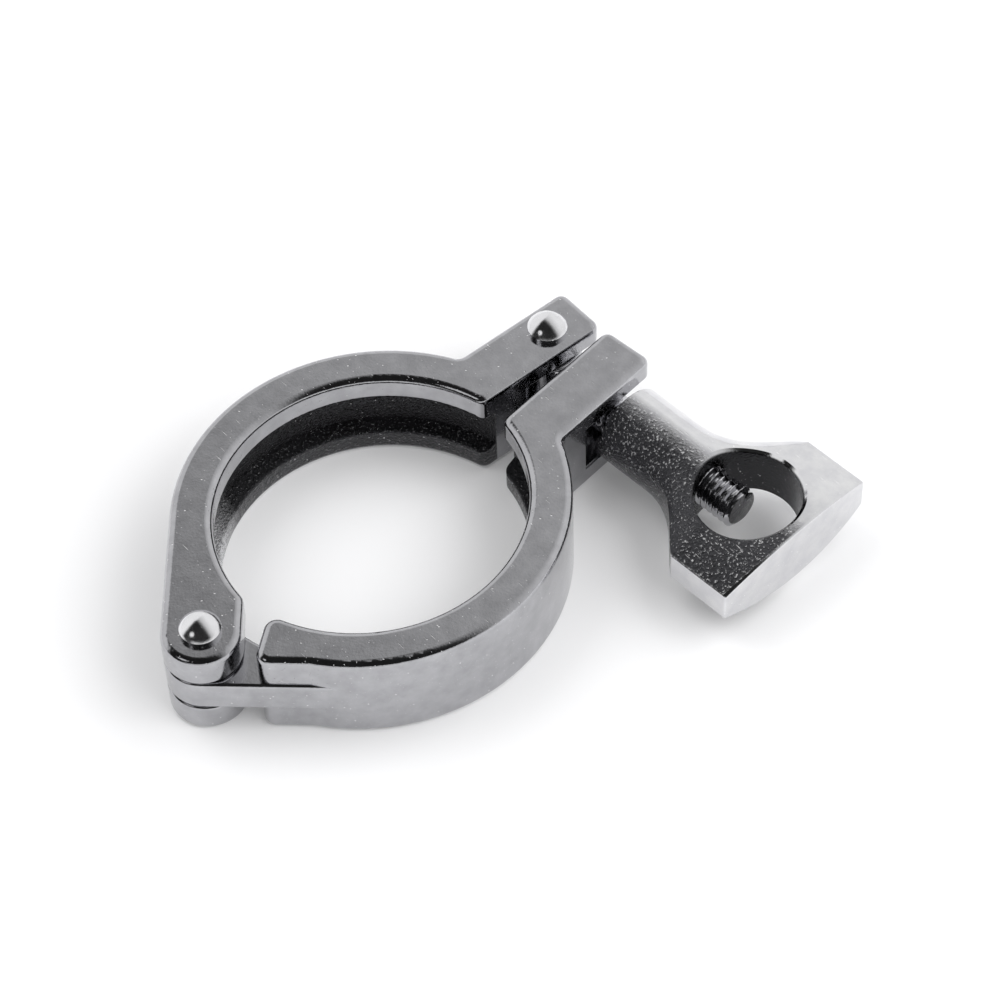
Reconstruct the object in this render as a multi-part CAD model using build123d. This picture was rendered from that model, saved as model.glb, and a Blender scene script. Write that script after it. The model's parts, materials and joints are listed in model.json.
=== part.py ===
"""Sanitary hinged clamp: two cast half rings on one hinge rivet, closed by a swing bolt and a wing nut.

The frame's origin is the ring's centre at mid height. +Z runs along the bore, +X from the hinge to the
ears, and the joint plane between the halves is y = 0. All lengths are in millimetres, angles in degrees.
"""

from build123d import *
import math
import os

os.makedirs("parts", exist_ok=True)

# Ring
ferrule_diameter = 64.0
rim_clearance = 1.2
lip_overlap = 1.7
groove_wall = 4.9
ring_height = 20.2
lip_height = 4.9
flank_angle = 20.0
edge_fillet = 1.4
lip_fillet = 0.6
slot_fillet = 0.5

# Ears
ear_gap = 14.5
ear_thickness = 11.1
ear_length = 20.3
ear_corner_radius = 1.8
ear_root_radius = 2.0
prong_thickness = 4.6
fork_root_gap = 3.7

# Hinge
hinge_offset = 2.4
boss_radius = 7.2
tongue_height = 6.8
tongue_fillet = 0.7
tongue_band_length = 18.1
clevis_fillet = 0.6
hinge_side_gap = 0.25
hinge_swing_gap = 0.8
half_end_radius = 2.4
end_a_angle = 40.0
end_b_angle = 59.0
end_b_distance = 10.6
tongue_proud = 0.6
closed_angle = 7.5

# Rivets
rivet_diameter = 5.6
rivet_head_diameter = 7.5
rivet_head_side = 0.9
rivet_dome_height = 2.1
rivet_tail_spread = 0.8
rivet_tail_recess = 0.1
pin_clearance = 0.05

# Swing bolt
pin_end_distance = 8.3
bolt_diameter = 7.94
bolt_reach = 49.6
bolt_tip_chamfer = 0.5
bolt_lean = 4.6
eye_radius = 6.4
eye_side_gap = 0.3
eye_fillet = 0.8

# Wing nut
nut_distance = 20.9
sleeve_radius = 7.8
thread_clearance = 0.05
thread_countersink = 0.7
nut_length = 41.4
head_half_width = 18.4
head_side_length = 12.8
end_bulge = 1.5
flare_angle = 43.0
flare_radius = 13.0
head_middle_thickness = 13.4
head_tip_thickness = 6.3
window_radius = 10.0
window_end_distance = 11.2
window_chamfer = 0.7
side_bow = 0.05
head_edge_fillet = 0.4

# Derived sizes
half_height = ring_height / 2
lip_bore_radius = ferrule_diameter / 2 - lip_overlap
groove_radius = ferrule_diameter / 2 + rim_clearance
ring_outer_radius = groove_radius + groove_wall
hinge_x = -ring_outer_radius - hinge_offset
ear_reach = ring_outer_radius + ear_length
groove_half_mouth = half_height - lip_height
groove_depth = groove_radius - lip_bore_radius
groove_half_floor = groove_half_mouth - groove_depth * math.tan(math.radians(flank_angle))
fork_height = ring_height - 2 * prong_thickness
clevis_height = tongue_height + 2 * hinge_side_gap
bolt_pin_x = ear_reach - pin_end_distance
fork_root = bolt_pin_x - eye_radius - fork_root_gap
bolt_pin_y = ear_gap / 2 + ear_thickness / 2
hinge_pin = Vector(hinge_x, 0, 0)
bolt_pin = Vector(bolt_pin_x, bolt_pin_y, 0)
rivet_radius = rivet_diameter / 2
running_radius = rivet_radius + pin_clearance
bolt_radius = bolt_diameter / 2
window_distance = nut_length - window_end_distance
wing_start = nut_length - head_side_length
flare_rise = flare_radius * (1 - math.cos(math.radians(flare_angle)))
flare_run = (head_half_width - sleeve_radius - flare_rise) / math.tan(math.radians(flare_angle))
flare_length = flare_run + flare_radius * math.sin(math.radians(flare_angle))
flare_sections = 4
overcut = 5.0
corner_search = 0.5
flatness = 0.001


def tangent_web(inset=0):
    """The flat piece between the ring and the hinge boss, up to an inset from their common tangent."""
    lean = math.acos((ring_outer_radius - boss_radius) / abs(hinge_x))
    outward = Vector(-math.cos(lean), math.sin(lean), 0)
    inner_radius = (groove_radius + ring_outer_radius) / 2
    corners = [
        outward * (ring_outer_radius - inset),
        hinge_pin + outward * (boss_radius - inset),
        hinge_pin,
        Vector(-inner_radius, 0, 0),
    ]
    return make_face(Polyline(*corners, close=True))


def half_box(x_from, x_to, y_from, y_to):
    """A rectangle given by its limits."""
    centre = Pos((x_from + x_to) / 2, (y_from + y_to) / 2)
    return centre * Rectangle(x_to - x_from, y_to - y_from)


def near(vertices, point, reach):
    """The corners that lie within reach of a point, seen in plan."""
    return [v for v in vertices if math.hypot(v.X - point[0], v.Y - point[1]) < reach]


def ring_and_ear_plan(hinge_end_y):
    """Plan of a half on the +y side: half a ring from its hinge end to its ear, with the corners rounded."""
    outer = ring_outer_radius + overcut
    ring = Circle(ring_outer_radius) - Circle(lip_bore_radius)
    ring &= half_box(-outer, 0, hinge_end_y, outer) + half_box(-overcut, outer, ear_gap / 2, outer)
    ear_outer_y = ear_gap / 2 + ear_thickness
    plan = ring + (half_box(0, ear_reach, ear_gap / 2, ear_outer_y) - Circle(lip_bore_radius))
    tip_inner = (ear_reach, ear_gap / 2)
    tip_outer = (ear_reach, ear_outer_y)
    root_inner = (math.sqrt(lip_bore_radius**2 - (ear_gap / 2) ** 2), ear_gap / 2)
    root_outer = (math.sqrt(ring_outer_radius**2 - ear_outer_y**2), ear_outer_y)
    for corner, radius in (
        (tip_inner, ear_corner_radius),
        (tip_outer, ear_corner_radius),
        (root_inner, ear_root_radius),
        (root_outer, ear_root_radius),
    ):
        plan = fillet(near(plan.vertices(), corner, corner_search), radius)
    return plan


def half_a_plan():
    """Plan of half A: its ring's inner side runs into a straight line that is tangent to the hinge boss."""
    lean = math.radians(end_a_angle)
    along = Vector(math.sin(lean), math.cos(lean), 0)
    on_boss = hinge_pin + boss_radius * Vector(math.cos(lean), -math.sin(lean), 0)
    back = on_boss.dot(along)
    run = -back - math.sqrt(back**2 - on_boss.dot(on_boss) + lip_bore_radius**2)
    corner = on_boss + run * along
    on_rim = Vector(-ring_outer_radius, corner.Y, 0)
    blend = make_face(Polyline(corner, on_boss, hinge_pin, on_rim, close=True))
    plan = ring_and_ear_plan(corner.Y) + tangent_web() + blend + Pos(hinge_pin) * Circle(boss_radius)
    return fillet(near(plan.vertices(), (corner.X, corner.Y), corner_search), half_end_radius)


def half_b_plan():
    """Plan of half B on the +y side: its ring widens towards the hinge and ends flat, short of it."""
    outer = ring_outer_radius + overcut
    plan = ring_and_ear_plan(0) + tangent_web(tongue_proud)
    to_hinge = Pos(hinge_pin) * Rot(0, 0, end_b_angle)
    plan -= to_hinge * half_box(-outer, end_b_distance, -outer, outer)
    turn = math.radians(end_b_angle)
    facing = Vector(math.cos(turn), math.sin(turn), 0)
    reach = end_b_distance + corner_search
    end = [v for v in plan.vertices() if (Vector(*v) - hinge_pin).dot(facing) < reach]
    return fillet(end, half_end_radius)


def groove_cutter():
    """The V groove that takes the ferrule's rim, turned round the bore, with its lips rounded."""
    slope = math.radians(flank_angle)
    lip_run = lip_fillet * math.tan((math.pi / 2 - slope) / 2)
    lip_start = (lip_bore_radius, groove_half_mouth + lip_run)
    lip_end = (
        lip_bore_radius + lip_run * math.cos(slope),
        groove_half_mouth - lip_run * math.sin(slope),
    )
    inside = (lip_bore_radius - overcut, lip_start[1])
    lip = TangentArc(lip_start, lip_end, tangent=(0, -1))
    upper = [Line(inside, lip_start), lip, Line(lip_end, (groove_radius, groove_half_floor))]
    lower = [mirror(line, Plane.XZ) for line in upper]
    floor = Line((groove_radius, groove_half_floor), (groove_radius, -groove_half_floor))
    back = Line(inside, (inside[0], -inside[1]))
    section = make_face([*upper, floor, *lower, back])
    return revolve(Plane.XZ * section, Axis.Z)


def centred(plan, height):
    """A plan raised to a height, half above and half below mid height."""
    return extrude(plan, amount=height / 2, both=True)


def rounded_slab(plan, height, radius):
    """A plan raised to a height, with its upper and lower edges rounded."""
    slab = centred(plan, height)
    rims = slab.edges().group_by(Axis.Z)
    return fillet(rims[0] + rims[-1], radius)


def edges_at(body, height, inside):
    """The edges that lie flat at a height above or below mid height and whose centres pass a test."""
    level = body.edges().filter_by(lambda e: abs(e.bounding_box().size.Z) < flatness)
    level = level.filter_by(lambda e: abs(abs(e.center().Z) - height) < flatness)
    return level.filter_by(lambda e: inside(e.center()))


def rounded_prongs(body):
    """Rounds the edges where the fork slot breaks through the ear's sides and end."""
    inner = ear_gap / 2 + corner_search
    outer = ear_gap / 2 + ear_thickness - corner_search
    tip = ear_reach - corner_search
    rim = edges_at(body, fork_height / 2, lambda c: c.X > tip or c.X > fork_root and not inner < c.Y < outer)
    return fillet(rim, slot_fillet)


def fork_slot():
    """The slot between an ear's two prongs, open at the ear's end and on both its sides."""
    inner = ear_gap / 2
    outer = inner + ear_thickness
    plan = half_box(fork_root, ear_reach + overcut, inner - overcut, outer + overcut)
    return centred(plan, fork_height)


def rivet_hole(pin, radius):
    """A round hole through everything at a pin."""
    return Pos(pin) * Cylinder(radius, ring_height + overcut)


def rivet_seat(pin):
    """A rivet's hole in the outer walls, with the countersink that its peened tail fills."""
    sink = Pos(pin.X, pin.Y, -half_height + rivet_tail_spread / 2) * Cone(
        rivet_radius + rivet_tail_spread, rivet_radius, rivet_tail_spread
    )
    return rivet_hole(pin, rivet_radius) + sink


def make_half_a():
    """Half A: the hinge clevis at one end and the fork that holds the bolt's eye at the other."""
    body = rounded_slab(half_a_plan(), ring_height, edge_fillet) - groove_cutter()
    clevis = Pos(hinge_pin) * Circle(boss_radius + hinge_swing_gap)
    body -= centred(clevis, clevis_height)
    body = fillet(edges_at(body, clevis_height / 2, lambda c: c.X < hinge_x), clevis_fillet)
    body = rounded_prongs(body - fork_slot())
    body -= rivet_seat(hinge_pin)
    body -= rivet_seat(bolt_pin)
    return body.solid()


def make_half_b():
    """Half B, drawn on the +y side and mirrored: one tongue on the hinge and an open slot for the bolt."""
    body = rounded_slab(half_b_plan(), ring_height, edge_fillet)
    tongue = tangent_web() + Pos(hinge_pin) * Circle(boss_radius)
    reach = half_box(-ring_outer_radius, tongue_band_length - ring_outer_radius, 0, ring_outer_radius)
    tongue += Circle(ring_outer_radius) & reach
    tongue -= Circle(groove_radius)
    body -= groove_cutter()
    body += rounded_slab(tongue, tongue_height, tongue_fillet)
    body = rounded_prongs(body - fork_slot())
    body -= rivet_hole(hinge_pin, running_radius)
    body = mirror(body, Plane.XZ)
    return (Pos(hinge_pin) * Rot(0, 0, closed_angle) * Pos(-hinge_pin) * body).solid()


def make_rivet(pin):
    """A rivet with a domed head on top and a tail peened flush underneath."""
    head_radius = rivet_head_diameter / 2
    dome_radius = (head_radius**2 + rivet_dome_height**2) / (2 * rivet_dome_height)
    rim = half_height + rivet_head_side
    top = rim + rivet_dome_height
    tail = -half_height + rivet_tail_recess
    shoulder = -half_height + rivet_tail_spread
    tail_radius = rivet_radius + rivet_tail_spread - rivet_tail_recess
    dome_side = math.acos((dome_radius - rivet_dome_height) / dome_radius) / 2
    middle = (dome_radius * math.sin(dome_side), top - dome_radius * (1 - math.cos(dome_side)))
    outline = Polyline(
        (0, top),
        (0, tail),
        (tail_radius, tail),
        (rivet_radius, shoulder),
        (rivet_radius, half_height),
        (head_radius, half_height),
        (head_radius, rim),
    )
    section = [outline, ThreePointArc((head_radius, rim), middle, (0, top))]
    return (Pos(pin) * revolve(Plane.XZ * make_face(section), Axis.Z)).solid()


def place_on_bolt(piece):
    """Turns a piece drawn along +X from the origin onto the bolt's pin, leaning as the bolt lies."""
    return Pos(bolt_pin) * Rot(0, 0, bolt_lean - 90) * piece


def make_swing_bolt():
    """The swing bolt: a flat-sided eye on the bolt rivet and a straight shank with a flat, chamfered end."""
    eye = Cylinder(eye_radius, fork_height - 2 * eye_side_gap)
    eye = fillet(eye.edges().filter_by(GeomType.CIRCLE), eye_fillet)
    shank = Plane.YZ * Cylinder(bolt_radius, bolt_reach, align=(Align.CENTER, Align.CENTER, Align.MIN))
    shank = chamfer(shank.edges().group_by(Axis.X)[-1], bolt_tip_chamfer)
    body = eye + shank - Cylinder(running_radius, ring_height)
    return place_on_bolt(body).solid()


def nut_half_width(x):
    """Half width of the nut at a distance from its near end: sleeve, concave flare, straight flare, wings."""
    slope = math.radians(flare_angle)
    arc_end = wing_start - (head_half_width - sleeve_radius - flare_rise) / math.tan(slope)
    arc_start = arc_end - flare_radius * math.sin(slope)
    if x <= arc_start:
        return sleeve_radius
    if x < arc_end:
        return sleeve_radius + flare_radius - math.sqrt(flare_radius**2 - (x - arc_start) ** 2)
    return min(head_half_width, sleeve_radius + flare_rise + (x - arc_end) * math.tan(slope))


def nut_section(x, share):
    """Section of the nut across its axis, from the sleeve's circle at share 0 to the lens at share 1."""
    half_width = nut_half_width(x)
    corner = head_tip_thickness / 2
    round_inset = sleeve_radius - math.sqrt(sleeve_radius**2 - corner**2)
    side = half_width - side_bow - (round_inset - side_bow) * (1 - share) ** 2
    middle = sleeve_radius + (head_middle_thickness / 2 - sleeve_radius) * share
    outline = [
        ThreePointArc((-side, corner), (0, middle), (side, corner)),
        ThreePointArc((side, corner), (half_width, 0), (side, -corner)),
        ThreePointArc((side, -corner), (0, -middle), (-side, -corner)),
        ThreePointArc((-side, -corner), (-half_width, 0), (-side, corner)),
    ]
    return Plane.YZ.offset(x) * make_face(outline)


def nut_body():
    """The nut's solid form: a round sleeve that grows into a lens-shaped head with a bowed far end."""
    along_x = (Align.CENTER, Align.CENTER, Align.MIN)
    flare_start = wing_start - flare_length
    step = flare_length / flare_sections
    sections = [nut_section(flare_start - step, 0)]
    sections += [nut_section(flare_start + i * step, i / flare_sections) for i in range(flare_sections + 1)]
    blend = loft(sections)
    sleeve = Plane.YZ * Cylinder(sleeve_radius, flare_start - step, align=along_x)
    wings = extrude(sections[-1], amount=head_side_length + end_bulge)
    wide = head_half_width + overcut
    corners = [(nut_length, wide), (0, wide), (0, -wide), (nut_length, -wide)]
    bow = ThreePointArc((nut_length, -wide), (nut_length + end_bulge, 0), (nut_length, wide))
    wings &= centred(make_face([Polyline(*corners), bow]), ring_height)
    return sleeve + blend + wings


def on_wing(edge):
    """Whether an edge bounds a wing's straight side or the bowed far end."""
    centre = edge.center()
    on_side = centre.X > wing_start - flatness and abs(centre.Y) > sleeve_radius
    return on_side or centre.X > nut_length


def on_window_rim(edge):
    """Whether an edge runs round the mouth of the wing nut's window."""
    ends = (edge @ 0, edge @ 1)
    on_wall = all(abs(math.hypot(p.X - window_distance, p.Y) - window_radius) < flatness for p in ends)
    return on_wall and edge.geom_type != GeomType.LINE


def make_wing_nut():
    """The wing nut: its cast form with one large window and the tapped bore."""
    along_x = (Align.CENTER, Align.CENTER, Align.MIN)
    body = nut_body()
    body = fillet(body.edges().filter_by(on_wing), head_edge_fillet)
    body -= Pos(window_distance, 0, 0) * Cylinder(window_radius, ring_height)
    body = chamfer(body.edges().filter_by(on_window_rim), window_chamfer)
    bore_radius = bolt_radius + thread_clearance
    bore = Plane.YZ * Cylinder(bore_radius, window_distance, align=along_x)
    bore += Plane.YZ * Cone(
        bore_radius + thread_countersink, bore_radius, thread_countersink, align=along_x
    )
    body -= bore
    return place_on_bolt(Pos(nut_distance, 0, 0) * body).solid()


parts = {
    "half_a": make_half_a(),
    "half_b": make_half_b(),
    "hinge_rivet": make_rivet(hinge_pin),
    "bolt_rivet": make_rivet(bolt_pin),
    "swing_bolt": make_swing_bolt(),
    "wing_nut": make_wing_nut(),
}
for name, solid in parts.items():
    export_step(solid, f"parts/{name}.step")
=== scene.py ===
"""Looks of the sanitary hinged clamp: tumbled stainless castings, turned rivets and a rolled bolt thread.

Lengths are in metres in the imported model's frame: +Z along the bore, +X from the hinge to the ears.
"""

import json
import math
from collections import namedtuple

import bmesh
import bpy
from mathutils import Matrix, Vector


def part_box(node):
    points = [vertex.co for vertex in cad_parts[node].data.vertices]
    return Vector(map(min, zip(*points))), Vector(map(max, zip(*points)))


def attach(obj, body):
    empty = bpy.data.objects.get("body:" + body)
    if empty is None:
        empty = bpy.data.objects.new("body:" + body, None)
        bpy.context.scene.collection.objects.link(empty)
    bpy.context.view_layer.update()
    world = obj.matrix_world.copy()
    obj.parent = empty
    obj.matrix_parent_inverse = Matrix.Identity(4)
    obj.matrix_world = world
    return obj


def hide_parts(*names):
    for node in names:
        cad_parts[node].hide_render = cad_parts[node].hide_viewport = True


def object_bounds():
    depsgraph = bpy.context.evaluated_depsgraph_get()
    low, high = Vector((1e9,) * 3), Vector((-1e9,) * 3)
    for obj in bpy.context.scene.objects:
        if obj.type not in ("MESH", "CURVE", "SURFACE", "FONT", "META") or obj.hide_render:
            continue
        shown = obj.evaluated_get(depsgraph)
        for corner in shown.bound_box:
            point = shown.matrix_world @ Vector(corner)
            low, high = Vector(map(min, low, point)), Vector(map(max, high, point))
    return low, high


MM = 0.001

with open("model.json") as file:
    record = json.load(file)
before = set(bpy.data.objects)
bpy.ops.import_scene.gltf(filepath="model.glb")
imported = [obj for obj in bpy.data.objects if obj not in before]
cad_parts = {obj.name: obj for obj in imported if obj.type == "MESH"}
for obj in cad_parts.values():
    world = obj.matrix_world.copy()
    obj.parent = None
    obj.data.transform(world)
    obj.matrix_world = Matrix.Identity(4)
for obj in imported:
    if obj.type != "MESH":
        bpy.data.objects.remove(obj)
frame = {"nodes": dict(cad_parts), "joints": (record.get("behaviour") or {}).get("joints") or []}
cad_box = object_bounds()
joints = {joint["name"]: joint for joint in frame["joints"]}

# Where the pins, the bolt and the floor are
bolt_pin = Vector(joints["bolt_swing"]["pos_m"])
bolt_line = Vector(joints["nut_travel"]["axis"])
bolt_side = Vector((-bolt_line.y, bolt_line.x, 0.0))
hinge_pin = Vector(joints["half_hinge"]["pos_m"])
closed_angle = math.radians(7.5)
centre_a = Vector()
centre_b = hinge_pin + Matrix.Rotation(closed_angle, 3, "Z") @ -hinge_pin
floor_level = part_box("half_a")[0].z


def reach(node, direction):
    """How far a CAD piece reaches from the bolt's pin in a direction."""
    return max((vertex.co - bolt_pin).dot(direction) for vertex in frame["nodes"][node].data.vertices)


# Real sizes of the bolt and its 5/16-18 thread: its depth and its flat crests and roots are shares of the pitch
bolt_reach = reach("swing_bolt", bolt_line)
bolt_radius = 3.97 * MM
plain_shank = 8.6 * MM
tip_chamfer = 0.5 * MM
thread_pitch = 25.4 / 18 * MM
thread_depth = 0.61343 * thread_pitch
crest_share = 1 / 8
root_share = 1 / 4
sawn_end = (0.2 * MM, 0.1 * MM)

# How finely the thread is drawn, and how near two points are one
thread_sides = 73
rows_per_pitch = 14
merge_distance = 0.001 * MM

# Real sizes of the nut and its window
nut_reach = reach("wing_nut", bolt_line)
nut_half_width = reach("wing_nut", bolt_side)
nut_end_bow = 1.5 * MM
window_centre = bolt_pin + bolt_line * 51.1 * MM
window_radius = 10.05 * MM
window_half_height = 9.0 * MM

# Where the nut's painted shade starts and is full: across the bolt's line, in from the end wall and from the side wall
left_side = (2.0 * MM, -3.0 * MM)
end_margin = (0.2 * MM, 0.5 * MM)
side_margin = (0.1 * MM, 0.4 * MM)

# The V groove, dark as cast, and the lip under it, where that dark goes on as painted shade, and where along X a glint
# is painted towards the hinge
groove_radius = 33.3 * MM
groove_low = -9.4 * MM
groove_high = 5.0 * MM
groove_glint_x = (-13.0 * MM, -21.0 * MM)

# Sizes of the finishes. Real pits, grain and scratches are two or three times finer, and wouldn't show
# in a view of the whole clamp, so they are drawn this coarse.
wave_size = 9.0 * MM
wave_depth = 0.03 * MM
cloud_size = 3.5 * MM
grain_size = 0.45 * MM
skin_and_light_grain = 0.5 * MM
large_pits = (1.9 * MM, 0.17 * MM)
small_pits = (1.045 * MM, 0.085 * MM)
pit_bottom = 0.3
scratch_width = 0.07 * MM
scratch_stretch = 14.0
scratch_turns_and_spacings = ((0.6, 0.85 * MM), (2.3, 1.105 * MM))

# Heights of a noise: where clouds start and are full, and where the tops of the cast grain, painted white as glints,
# do
cloud_limits = (0.3, 0.7)
top_limits = (0.58, 0.68)
top_height = 0.35

# Roughness where clouds are darkest, and how much it grows to where they are palest, as shares of a material's own
roughness_start = 0.65
roughness_spread = 0.7

white = "#ffffff"


def linear(hex_colour):
    """An sRGB hex colour as linear red, green, blue and alpha."""
    parts = [int(hex_colour[i : i + 2], 16) / 255 for i in (1, 3, 5)]
    return (*[p / 12.92 if p <= 0.04045 else ((p + 0.055) / 1.055) ** 2.4 for p in parts], 1.0)


def add_node(tree, kind, inputs=None, **settings):
    """Adds a node with its settings. An input is a plain value, a socket, or a node whose first output it takes."""
    node = tree.nodes.new(kind)
    for name, value in settings.items():
        setattr(node, name, value)
    for key, value in (inputs or {}).items():
        if isinstance(value, bpy.types.Node):
            tree.links.new(value.outputs[0], node.inputs[key])
        elif isinstance(value, bpy.types.NodeSocket):
            tree.links.new(value, node.inputs[key])
        else:
            node.inputs[key].default_value = value
    return node


def new_material(name):
    """An empty node material and its tree."""
    material = bpy.data.materials.new(name)
    material.use_nodes = True
    material.node_tree.nodes.clear()
    return material, material.node_tree


# ---------------------------------------------------------------- surface patterns


def pits(tree, place, spacing, radius):
    """Small round pits, scattered one to a cell: 1 in a pit's middle, 0 outside."""
    cells = add_node(tree, "ShaderNodeTexVoronoi", {"Vector": place, "Scale": 1 / spacing})
    edge = radius / spacing
    return add_node(tree, "ShaderNodeMapRange", {"Value": cells, "From Min": edge, "From Max": edge * pit_bottom})


def scratches(tree, place, turn, spacing):
    """Short straight scratches lying one way: 1 in a scratch, 0 outside."""
    stretched = {"Vector": place, "Rotation": (0.0, 0.0, turn), "Scale": (1.0, 1.0 / scratch_stretch, 1.0)}
    return pits(tree, add_node(tree, "ShaderNodeMapping", stretched), spacing, scratch_width)


def cast_grain(tree, place, size):
    """The grain that the mould's shell leaves on a casting, from 0 to 1."""
    return add_node(
        tree, "ShaderNodeTexNoise", {"Vector": place, "Scale": 1 / size, "Detail": 3.0, "Roughness": 0.6}
    )


# The colour, the grain's depth, the brightness painted as glints on the grain's tops, and the function that says where
# the layer is
Skin = namedtuple("Skin", "colour depth sparkle where")


def stainless(name, shade, colour, roughness, grain_depth, mark_depth, skins_and_painted_light=()):
    """Stainless steel, tumbled or burnished: a mirror with slight waves; its pits and short scratches are painted
    white as highlights.

    Layers over it are grainier as-cast surfaces where tumbling doesn't reach, and also painted shade and painted
    glints.
    """
    material, tree = new_material(name)
    place = add_node(tree, "ShaderNodeTexCoord").outputs["Object"]

    marks_and_glints = pits(tree, place, *large_pits)
    scratched = [scratches(tree, place, turn, spacing) for turn, spacing in scratch_turns_and_spacings]
    for more in (pits(tree, place, *small_pits), *scratched):
        marks_and_glints = add_node(tree, "ShaderNodeMath", {0: marks_and_glints, 1: more}, operation="MAXIMUM")

    # Waves, grain and marks, each bump on top of the one before
    waves = add_node(tree, "ShaderNodeTexNoise", {"Vector": place, "Scale": 1 / wave_size, "Detail": 1.0})
    normal = add_node(tree, "ShaderNodeBump", {"Height": waves, "Strength": 1.0, "Distance": wave_depth})
    unmarked = add_node(tree, "ShaderNodeMath", {0: 1.0, 1: marks_and_glints}, operation="SUBTRACT")
    for height, depth in ((cast_grain(tree, place, grain_size), grain_depth), (unmarked, mark_depth)):
        bump = {"Height": height, "Strength": 1.0, "Distance": depth, "Normal": normal}
        normal = add_node(tree, "ShaderNodeBump", bump)

    # Cloudy patches, more or less burnished, change the colour and the roughness together.
    clouds = {"Value": cast_grain(tree, place, cloud_size), "From Min": cloud_limits[0], "From Max": cloud_limits[1]}
    clouds = add_node(tree, "ShaderNodeMapRange", clouds)
    steel = {0: clouds, 6: linear(shade), 7: linear(colour)}
    steel = add_node(tree, "ShaderNodeMix", steel, data_type="RGBA").outputs[2]
    # The pits and scratches are painted white here, as highlights.
    tone = {0: marks_and_glints, 6: steel, 7: linear(white)}
    tone = add_node(tree, "ShaderNodeMix", tone, data_type="RGBA").outputs[2]
    rough = {0: clouds, 1: roughness * roughness_spread, 2: roughness * roughness_start}
    rough = add_node(tree, "ShaderNodeMath", rough, operation="MULTIPLY_ADD")

    # Each layer sets its own colour over its mask; where it is painted shade, that colour darkens the steel as a
    # shadow would.
    for skin_or_painted_light in skins_and_painted_light:
        where = skin_or_painted_light.where(tree, place)
        grain = cast_grain(tree, place, skin_and_light_grain)
        tops = {"Value": grain, "From Min": top_limits[0], "From Max": top_limits[1]}
        tops = add_node(tree, "ShaderNodeMapRange", tops)
        height = add_node(tree, "ShaderNodeMath", {0: tops, 1: top_height, 2: grain}, operation="MULTIPLY_ADD")
        bump = {"Height": height, "Strength": 1.0, "Distance": skin_or_painted_light.depth, "Normal": normal}
        normal = {0: where, 4: normal, 5: add_node(tree, "ShaderNodeBump", bump)}
        normal = add_node(tree, "ShaderNodeMix", normal, data_type="VECTOR").outputs[1]
        # The tops of the layer's grain are painted white as glints, as much as its sparkle share says.
        glint_specks = add_node(tree, "ShaderNodeMath", {0: tops, 1: skin_or_painted_light.sparkle}, operation="MULTIPLY")
        bright = add_node(tree, "ShaderNodeMath", {0: marks_and_glints, 1: glint_specks}, operation="MAXIMUM")
        skin_and_light_tone = {0: bright, 6: linear(skin_or_painted_light.colour), 7: linear(white)}
        skin_and_light_tone = add_node(tree, "ShaderNodeMix", skin_and_light_tone, data_type="RGBA").outputs[2]
        tone = add_node(tree, "ShaderNodeMix", {0: where, 6: tone, 7: skin_and_light_tone}, data_type="RGBA").outputs[2]

    surface = {"Base Color": tone, "Metallic": 1.0, "Roughness": rough, "Normal": normal}
    shader = add_node(tree, "ShaderNodeBsdfPrincipled", surface)
    add_node(tree, "ShaderNodeOutputMaterial", {"Surface": shader})
    return material


# ---------------------------------------------------------------- where the as-cast surfaces, painted shade and painted glints are


def from_bolt_pin(tree, place, direction):
    """How far a place lies from the bolt's pin in a direction."""
    away = add_node(tree, "ShaderNodeVectorMath", {0: place, 1: bolt_pin}, operation="SUBTRACT")
    return add_node(tree, "ShaderNodeVectorMath", {0: away, 1: direction}, operation="DOT_PRODUCT").outputs["Value"]


def inside_bore(tree, place, centre, radius, low, high):
    """1 on the wall of an upright bore between two heights, 0 on the faces round it."""
    rim = 0.25 * MM
    ends = 0.5 * MM
    away = add_node(tree, "ShaderNodeVectorMath", {0: place, 1: centre}, operation="SUBTRACT")
    level = add_node(tree, "ShaderNodeVectorMath", {0: away, 1: (1.0, 1.0, 0.0)}, operation="MULTIPLY")
    distance = add_node(tree, "ShaderNodeVectorMath", {0: level}, operation="LENGTH").outputs["Value"]
    height = add_node(tree, "ShaderNodeSeparateXYZ", {0: away}).outputs["Z"]
    inside = add_node(tree, "ShaderNodeMapRange", {"Value": distance, "From Min": radius + rim, "From Max": radius})
    for start, full in ((low, low + ends), (high, high - ends)):
        between = add_node(tree, "ShaderNodeMapRange", {"Value": height, "From Min": start, "From Max": full})
        inside = add_node(tree, "ShaderNodeMath", {0: inside, 1: between}, operation="MULTIPLY")
    return inside


def groove_a(tree, place):
    """Half A's V groove, dark as cast, and the lip under it, where the dark is painted shade."""
    return inside_bore(tree, place, centre_a, groove_radius, groove_low, groove_high)


def groove_b(tree, place):
    """Half B's V groove and the lip under it, round that half's own bore: dark as cast in the groove, painted shade on
    the lip.
    """
    return inside_bore(tree, place, centre_b, groove_radius, groove_low, groove_high)


def groove_a_glint(tree, place):
    """The end of half A's groove by the hinge, where a bright glitter is painted as a highlight."""
    x = add_node(tree, "ShaderNodeSeparateXYZ", {0: place}).outputs["X"]
    left = add_node(tree, "ShaderNodeMapRange", {"Value": x, "From Min": groove_glint_x[0], "From Max": groove_glint_x[1]})
    return add_node(tree, "ShaderNodeMath", {0: groove_a(tree, place), 1: left}, operation="MULTIPLY")


def shaded_window_wall(tree, place):
    """The wall of the nut's window, painted dark as shade."""
    return inside_bore(tree, place, window_centre, window_radius, -window_half_height, window_half_height)


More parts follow.
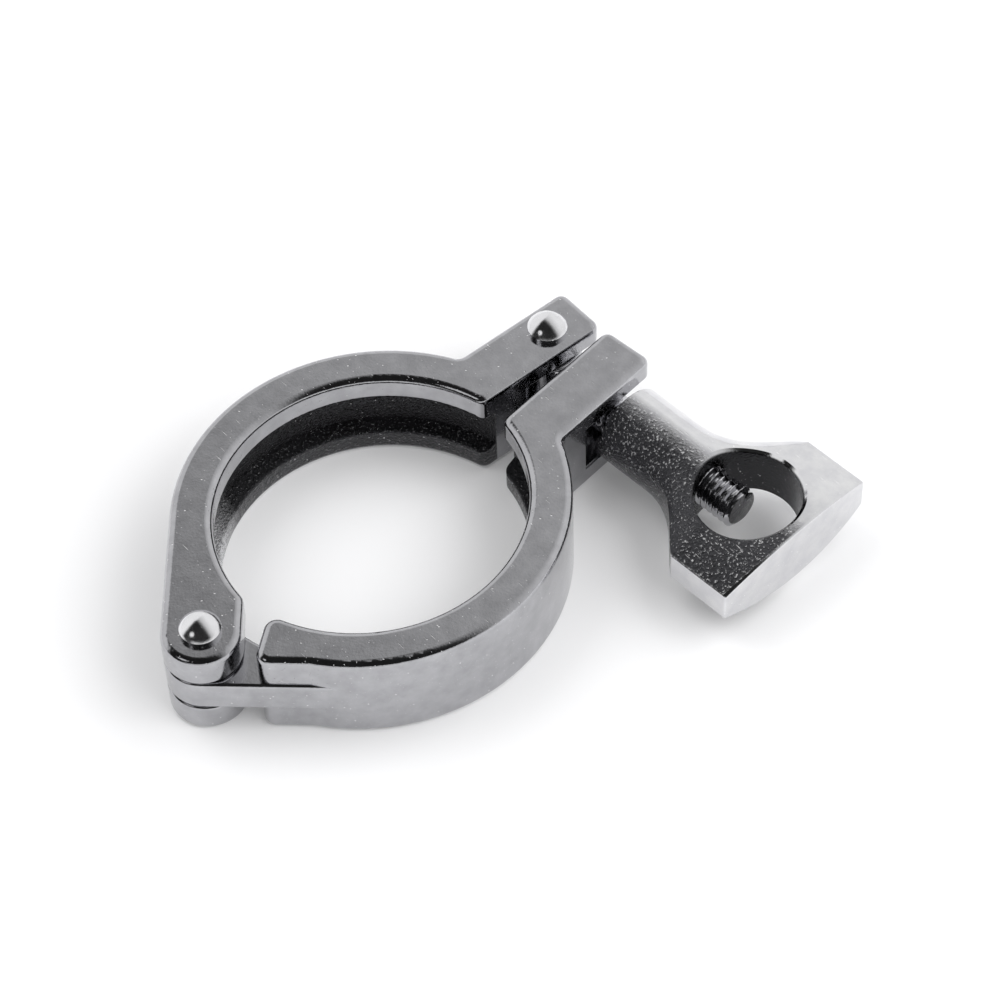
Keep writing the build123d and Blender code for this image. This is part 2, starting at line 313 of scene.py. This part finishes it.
def shaded_nut_flats(tree, place):
    """The nut's sleeve and wing on the side towards the ring, short of its end wall and its side wall, where shade is
    painted.
    """
    across = from_bolt_pin(tree, place, bolt_side)
    square = add_node(tree, "ShaderNodeMath", {0: across, 1: across}, operation="MULTIPLY")
    bow = {0: square, 1: nut_end_bow / nut_half_width**2, 2: from_bolt_pin(tree, place, bolt_line)}
    along = add_node(tree, "ShaderNodeMath", bow, operation="MULTIPLY_ADD")
    flats = add_node(tree, "ShaderNodeMapRange", {"Value": across, "From Min": left_side[0], "From Max": left_side[1]})
    for value, start, full in (
        (along, nut_reach - end_margin[0], nut_reach - end_margin[1]),
        (across, side_margin[0] - nut_half_width, side_margin[1] - nut_half_width),
    ):
        short = add_node(tree, "ShaderNodeMapRange", {"Value": value, "From Min": start, "From Max": full})
        flats = add_node(tree, "ShaderNodeMath", {0: flats, 1: short}, operation="MULTIPLY")
    return flats


def shaded_bolt_end(tree, place):
    """The bolt's sawn end, up to its chamfer, where shade is painted."""
    along = from_bolt_pin(tree, place, bolt_line)
    start, full = [bolt_reach - margin for margin in sawn_end]
    return add_node(tree, "ShaderNodeMapRange", {"Value": along, "From Min": start, "From Max": full})


# ---------------------------------------------------------------- materials

# Stainless cast in a shell mould and tumbled: mid grey, nearly a mirror, with soft waves that bend what it
# mirrors. The groove keeps its dark cast surface, carried over the lower lip as painted shade; white glints are
# painted on its grain, and a bright glitter is painted at half A's hinge end.
cast_half_a, cast_half_b = [
    stainless(
        name,
        shade="#a6a6a9",
        colour="#b6b6b9",
        roughness=0.09,
        grain_depth=0.02 * MM,
        mark_depth=0.05 * MM,
        skins_and_painted_light=skins_and_painted_light,
    )
    for name, skins_and_painted_light in (
        (
            "tumbled_cast_stainless_a",
            # Dark groove with painted glints, painted shade on the lower lip, and a painted glitter at the hinge end
            [Skin("#464648", 0.40 * MM, 0.25, groove_a), Skin("#f0f0f2", 0.30 * MM, 1.0, groove_a_glint)],
        ),
        # Dark groove with painted glints, and painted shade on the lower lip
        ("tumbled_cast_stainless_b", [Skin("#464648", 0.40 * MM, 0.25, groove_b)]),
    )
]

# The same casting with more burnish: pale and smooth, and made paler still as painted light on its end wall.
# Its flats towards the ring and its window wall are painted dark as shade; the flats get painted white glints.
cast_nut = stainless(
    "tumbled_cast_stainless_nut",
    # Paler partly as painted light, to brighten the end wall
    shade="#d0d0d3",
    colour="#dededf",
    roughness=0.09,
    grain_depth=0.01 * MM,
    mark_depth=0.02 * MM,
    # Painted shade with painted glints on the flats towards the ring, and painted shade on the window wall
    skins_and_painted_light=[Skin("#545457", 0.30 * MM, 0.75, shaded_nut_flats), Skin("#48484a", 0.05 * MM, 0.0, shaded_window_wall)],
)

# Stainless rod, turned and peened over: a bright, clean mirror on the domed heads.
peened_rivet = stainless(
    "peened_stainless_rivet",
    shade="#d8d8da",
    colour="#e4e4e6",
    roughness=0.14,
    grain_depth=0.01 * MM,
    mark_depth=0.01 * MM,
)

# Stainless bar with a rolled thread: flanks burnished bright by the dies, and a sawn end painted dark as shade.
rolled_thread = stainless(
    "rolled_stainless_thread",
    shade="#b4b4b7",
    colour="#c4c4c7",
    roughness=0.12,
    grain_depth=0.003 * MM,
    mark_depth=0.008 * MM,
    # The sawn end painted dark as shade
    skins_and_painted_light=[Skin("#505052", 0.1 * MM, 0.0, shaded_bolt_end)],
)

for node, material in (
    ("half_a", cast_half_a),
    ("half_b", cast_half_b),
    ("hinge_rivet", peened_rivet),
    ("bolt_rivet", peened_rivet),
    ("wing_nut", cast_nut),
):
    frame["nodes"][node].data.materials.clear()
    frame["nodes"][node].data.materials.append(material)


# ---------------------------------------------------------------- swing bolt


def thread_tree():
    """Node tree of a right-hand 60 degree thread: a grid rolled round +Z, cut by its distance along the helix."""
    tree = bpy.data.node_groups.new("rolled_thread", "GeometryNodeTree")
    for size in ("Start", "End", "Radius", "Pitch", "Depth", "Chamfer"):
        tree.interface.new_socket(size, in_out="INPUT", socket_type="NodeSocketFloat")
    for count in ("Sides", "Rows"):
        tree.interface.new_socket(count, in_out="INPUT", socket_type="NodeSocketInt")
    tree.interface.new_socket("Metal", in_out="INPUT", socket_type="NodeSocketMaterial")
    tree.interface.new_socket("Geometry", in_out="OUTPUT", socket_type="NodeSocketGeometry")
    given = add_node(tree, "NodeGroupInput").outputs

    # The grid's x is a turn round the bolt, and its y numbers the rows.
    grid = {"Size X": 1.0, "Size Y": 1.0, "Vertices X": given["Sides"], "Vertices Y": given["Rows"]}
    grid = add_node(tree, "GeometryNodeMeshGrid", grid).outputs["Mesh"]
    flat = add_node(tree, "ShaderNodeSeparateXYZ", {0: add_node(tree, "GeometryNodeInputPosition")}).outputs
    turn = add_node(tree, "ShaderNodeMath", {0: flat["X"], 1: 0.5}, operation="ADD")
    last_row = add_node(tree, "ShaderNodeMath", {0: given["Rows"], 1: 1.0}, operation="SUBTRACT")
    row = add_node(tree, "ShaderNodeMath", {0: flat["Y"], 1: 0.5}, operation="ADD")
    row = add_node(tree, "ShaderNodeMath", {0: row, 1: last_row}, operation="MULTIPLY")
    row = add_node(tree, "ShaderNodeMath", {0: row}, operation="ROUND")

    # The first and the last row close the ends on the axis, so the rows between them share the length.
    last_ring = add_node(tree, "ShaderNodeMath", {0: last_row, 1: 1.0}, operation="SUBTRACT")
    length = add_node(tree, "ShaderNodeMath", {0: given["End"], 1: given["Start"]}, operation="SUBTRACT")
    along = {"Value": row, "From Min": 1.0, "From Max": last_ring, "To Max": length}
    along = add_node(tree, "ShaderNodeMapRange", along)
    pitches = add_node(tree, "ShaderNodeMath", {0: along, 1: given["Pitch"]}, operation="DIVIDE")

    # The cut deepens from the crest to the root, and runs out over the first pitch.
    phase = add_node(tree, "ShaderNodeMath", {0: pitches, 1: turn}, operation="SUBTRACT")
    phase = add_node(tree, "ShaderNodeMath", {0: phase}, operation="FRACT")
    from_root = add_node(tree, "ShaderNodeMath", {0: phase, 1: 0.5}, operation="SUBTRACT")
    from_root = add_node(tree, "ShaderNodeMath", {0: from_root}, operation="ABSOLUTE")
    flank = {"Value": from_root, "From Min": (1 - crest_share) / 2, "From Max": root_share / 2}
    flank = add_node(tree, "ShaderNodeMapRange", flank)
    run_out = add_node(tree, "ShaderNodeMath", {0: pitches, 1: 1.0}, operation="MINIMUM")
    cut = add_node(tree, "ShaderNodeMath", {0: flank, 1: run_out}, operation="MULTIPLY")
    cut = add_node(tree, "ShaderNodeMath", {0: cut, 1: given["Depth"]}, operation="MULTIPLY")

    # The tip's chamfer takes over where it is deeper than the thread.
    chamfer = add_node(tree, "ShaderNodeMath", {0: along, 1: given["Chamfer"]}, operation="ADD")
    chamfer = add_node(tree, "ShaderNodeMath", {0: chamfer, 1: length}, operation="SUBTRACT")
    cut = add_node(tree, "ShaderNodeMath", {0: cut, 1: chamfer}, operation="MAXIMUM")
    radius = add_node(tree, "ShaderNodeMath", {0: given["Radius"], 1: cut}, operation="SUBTRACT")
    before_end = add_node(tree, "ShaderNodeMath", {0: row, 1: last_row}, operation="LESS_THAN")
    after_start = add_node(tree, "ShaderNodeMath", {0: row, 1: 0.0}, operation="GREATER_THAN")
    for ring in (before_end, after_start):
        radius = add_node(tree, "ShaderNodeMath", {0: radius, 1: ring}, operation="MULTIPLY")

    angle = add_node(tree, "ShaderNodeMath", {0: turn, 1: 2 * math.pi}, operation="MULTIPLY")
    rolled = {2: add_node(tree, "ShaderNodeMath", {0: given["Start"], 1: along}, operation="ADD")}
    for axis, ratio in enumerate(("COSINE", "SINE")):
        share = add_node(tree, "ShaderNodeMath", {0: angle}, operation=ratio)
        rolled[axis] = add_node(tree, "ShaderNodeMath", {0: radius, 1: share}, operation="MULTIPLY")
    rolled = add_node(tree, "ShaderNodeCombineXYZ", rolled)
    shaped = add_node(tree, "GeometryNodeSetPosition", {"Geometry": grid, "Position": rolled})
    closed = add_node(tree, "GeometryNodeMergeByDistance", {"Geometry": shaped, "Distance": merge_distance})
    real = add_node(tree, "GeometryNodeRealizeInstances", {"Geometry": closed})
    steel = add_node(tree, "GeometryNodeSetMaterial", {"Geometry": real, "Material": given["Metal"]})
    add_node(tree, "NodeGroupOutput", {"Geometry": steel})
    return tree


def grown(name, tree, values):
    """The plain mesh that a node tree makes from the values of its named inputs."""
    holder = bpy.data.objects.new(name, bpy.data.meshes.new(name))
    bpy.context.scene.collection.objects.link(holder)
    modifier = holder.modifiers.new("rolled", "NODES")
    modifier.node_group = tree
    for socket in tree.interface.items_tree:
        if socket.in_out == "INPUT":
            modifier[socket.identifier] = values[socket.name]
    evaluated = holder.evaluated_get(bpy.context.evaluated_depsgraph_get())
    mesh = bpy.data.meshes.new_from_object(evaluated)
    holder.modifiers.remove(modifier)
    holder.data = mesh
    return holder


def outward(mesh):
    """Turns a closed mesh's faces to point outwards."""
    body = bmesh.new()
    body.from_mesh(mesh)
    bmesh.ops.recalc_face_normals(body, faces=body.faces)
    body.to_mesh(mesh)
    body.free()


def bolt_thread():
    """The rolled thread, from the end of the plain shank to the bolt's tip."""
    thread = grown(
        "bolt_thread",
        thread_tree(),
        {
            "Start": plain_shank,
            "End": bolt_reach,
            "Radius": bolt_radius,
            "Pitch": thread_pitch,
            "Depth": thread_depth,
            "Chamfer": tip_chamfer,
            "Sides": thread_sides,
            "Rows": round((bolt_reach - plain_shank) / thread_pitch * rows_per_pitch),
            "Metal": rolled_thread,
        },
    )
    outward(thread.data)
    thread.data.shade_smooth()
    thread.data.set_sharp_from_angle(angle=math.radians(50))
    thread.data.transform(Matrix.Translation(bolt_pin) @ bolt_line.to_track_quat("Z", "Y").to_matrix().to_4x4())
    return thread


def bolt_eye():
    """The forged eye and its plain shank, kept from the solid up to where the thread starts."""
    body = bmesh.new()
    body.from_mesh(frame["nodes"]["swing_bolt"].data)
    bmesh.ops.remove_doubles(body, verts=body.verts, dist=merge_distance)
    cut = bmesh.ops.bisect_plane(
        body,
        geom=[*body.verts, *body.edges, *body.faces],
        plane_co=bolt_pin + bolt_line * plain_shank,
        plane_no=bolt_line,
        clear_outer=True,
    )
    rim = [item for item in cut["geom_cut"] if isinstance(item, bmesh.types.BMEdge)]
    bmesh.ops.contextual_create(body, geom=rim)
    mesh = bpy.data.meshes.new("bolt_eye")
    body.to_mesh(mesh)
    body.free()
    mesh.materials.clear()
    mesh.materials.append(rolled_thread)
    mesh.shade_smooth()
    mesh.set_sharp_from_angle(angle=math.radians(30))
    eye = bpy.data.objects.new("bolt_eye", mesh)
    bpy.context.scene.collection.objects.link(eye)
    return eye


for piece in (bolt_thread(), bolt_eye()):
    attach(piece, "swing_bolt")
    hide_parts("swing_bolt")


# ---------------------------------------------------------------- floor, light and camera


def seen_directly(tree):
    """1 for what the camera sees straight, in a mirror or through glass, 0 for light that falls on things."""
    path = add_node(tree, "ShaderNodeLightPath").outputs
    seen = {0: path["Is Camera Ray"], 1: path["Is Glossy Ray"]}
    seen = add_node(tree, "ShaderNodeMath", seen, operation="MAXIMUM")
    return add_node(tree, "ShaderNodeMath", {0: seen, 1: path["Is Transmission Ray"]}, operation="MAXIMUM")


def pale_floor():
    """A plain white table, a little brighter where it is seen directly or in a mirror, with the shadow kept."""
    half_side = 4.0
    material, tree = new_material("matt_white_table")
    paint = add_node(tree, "ShaderNodeBsdfDiffuse", {"Color": linear("#ececed")})
    off = add_node(tree, "ShaderNodeEmission", {"Strength": 0.0})
    glow = add_node(tree, "ShaderNodeEmission", {"Color": linear(white), "Strength": 0.08})
    lit = add_node(tree, "ShaderNodeMixShader", {0: seen_directly(tree), 1: off, 2: glow})
    both = add_node(tree, "ShaderNodeAddShader", {0: paint, 1: lit})
    add_node(tree, "ShaderNodeOutputMaterial", {"Surface": both})
    mesh = bpy.data.meshes.new("table")
    corners = [(-1, -1), (1, -1), (1, 1), (-1, 1)]
    mesh.from_pydata([(x * half_side, y * half_side, floor_level) for x, y in corners], [], [(0, 1, 2, 3)])
    mesh.materials.append(material)
    table = bpy.data.objects.new("table", mesh)
    bpy.context.scene.collection.objects.link(table)


def studio_room():
    """The room that the metal mirrors: a window wall at +X, a dark ceiling, and pale walls in front and behind."""
    world = bpy.data.worlds.new("studio")
    bpy.context.scene.world = world
    world.use_nodes = True
    tree = world.node_tree
    tree.nodes.clear()
    direction = add_node(tree, "ShaderNodeTexCoord").outputs["Generated"]
    x, y, z = add_node(tree, "ShaderNodeSeparateXYZ", {0: direction}).outputs

    # From the dark side at -X to the window wall at +X: how far over, and how bright
    ramp = add_node(tree, "ShaderNodeValToRGB", {0: x})
    stops = ((0.0, 0.02), (0.14, 0.06), (0.38, 0.66), (0.62, 0.90), (0.75, 1.0))
    while len(ramp.color_ramp.elements) < len(stops):
        ramp.color_ramp.elements.new(0.5)
    for element, (position, value) in zip(ramp.color_ramp.elements, stops):
        element.position = position
        element.color = (value, value, value, 1)

    # The walls in front (-Y) and behind (+Y), each up to a height
    pale = ramp
    for sideways, upwards in (((-0.05, -0.45), (0.34, 0.22)), ((0.50, 0.65), (0.86, 0.76))):
        wall = {"Value": y, "From Min": sideways[0], "From Max": sideways[1]}
        top = {"Value": z, "From Min": upwards[0], "From Max": upwards[1]}
        wall = {0: add_node(tree, "ShaderNodeMapRange", wall), 1: add_node(tree, "ShaderNodeMapRange", top)}
        wall = add_node(tree, "ShaderNodeMath", wall, operation="MULTIPLY")
        pale = add_node(tree, "ShaderNodeMath", {0: pale, 1: wall}, operation="MAXIMUM")

    # A round lamp high at -X, and the pale horizon
    from_lamp = {0: direction, 1: (-0.75, 0.04, 0.66)}
    from_lamp = add_node(tree, "ShaderNodeVectorMath", from_lamp, operation="DISTANCE").outputs["Value"]
    for value, start, full in ((from_lamp, 0.20, 0.16), (z, 0.10, 0.0)):
        patch = add_node(tree, "ShaderNodeMapRange", {"Value": value, "From Min": start, "From Max": full})
        pale = add_node(tree, "ShaderNodeMath", {0: pale, 1: patch}, operation="MAXIMUM")

    shown = add_node(tree, "ShaderNodeBackground", {0: pale, "Strength": 1.0})
    fill = add_node(tree, "ShaderNodeBackground", {"Color": linear(white), "Strength": 0.62})
    either = add_node(tree, "ShaderNodeMixShader", {0: seen_directly(tree), 1: fill, 2: shown})
    add_node(tree, "ShaderNodeOutputWorld", {"Surface": either})


def softbox(name, azimuth, elevation, distance, side, power):
    """A square soft light that faces the clamp, left out of mirror images so that they stay even."""
    a, e = math.radians(azimuth), math.radians(elevation)
    centre = (cad_box[0] + cad_box[1]) / 2
    away = Vector((math.cos(e) * math.cos(a), math.cos(e) * math.sin(a), math.sin(e)))
    light = bpy.data.lights.new(name, "AREA")
    light.shape = "SQUARE"
    light.size = side
    light.energy = power
    lamp = bpy.data.objects.new(name, light)
    lamp.location = centre + away * distance
    lamp.rotation_mode = "QUATERNION"
    lamp.rotation_quaternion = away.to_track_quat("Z", "Y")
    lamp.visible_glossy = False
    bpy.context.scene.collection.objects.link(lamp)


def studio_camera():
    """A long lens that looks down over the hinge end towards the nut."""
    distance = 653.148 * MM
    elevation = math.radians(52.059)
    azimuth = math.radians(38.102)
    roll = math.radians(-2.335)
    target = Vector((27.206 * MM, 0.058 * MM, floor_level))
    level = math.cos(elevation)
    forward = Vector((level * math.sin(azimuth), level * math.cos(azimuth), -math.sin(elevation)))
    right = Vector((math.cos(azimuth), -math.sin(azimuth), 0))
    up = right.cross(forward)
    rolled_right = math.cos(roll) * right + math.sin(roll) * up
    rolled_up = math.cos(roll) * up - math.sin(roll) * right
    camera = bpy.data.objects.new("camera", bpy.data.cameras.new("camera"))
    camera.data.sensor_width = 36.0
    camera.data.lens = 3.50055 * camera.data.sensor_width
    camera.data.clip_start = 0.01
    camera.rotation_mode = "QUATERNION"
    camera.rotation_quaternion = Matrix((rolled_right, rolled_up, -forward)).transposed().to_quaternion()
    camera.location = target - forward * distance
    bpy.context.scene.collection.objects.link(camera)
    bpy.context.scene.camera = camera


pale_floor()
studio_room()
softbox("back_softbox", azimuth=115, elevation=55, distance=1.2, side=0.8, power=4.2)
softbox("right_softbox", azimuth=-25, elevation=50, distance=1.2, side=0.9, power=5.0)
softbox("near_softbox", azimuth=-70, elevation=40, distance=1.3, side=0.9, power=6.5)
studio_camera()
bpy.context.scene.view_settings.view_transform = "Standard"
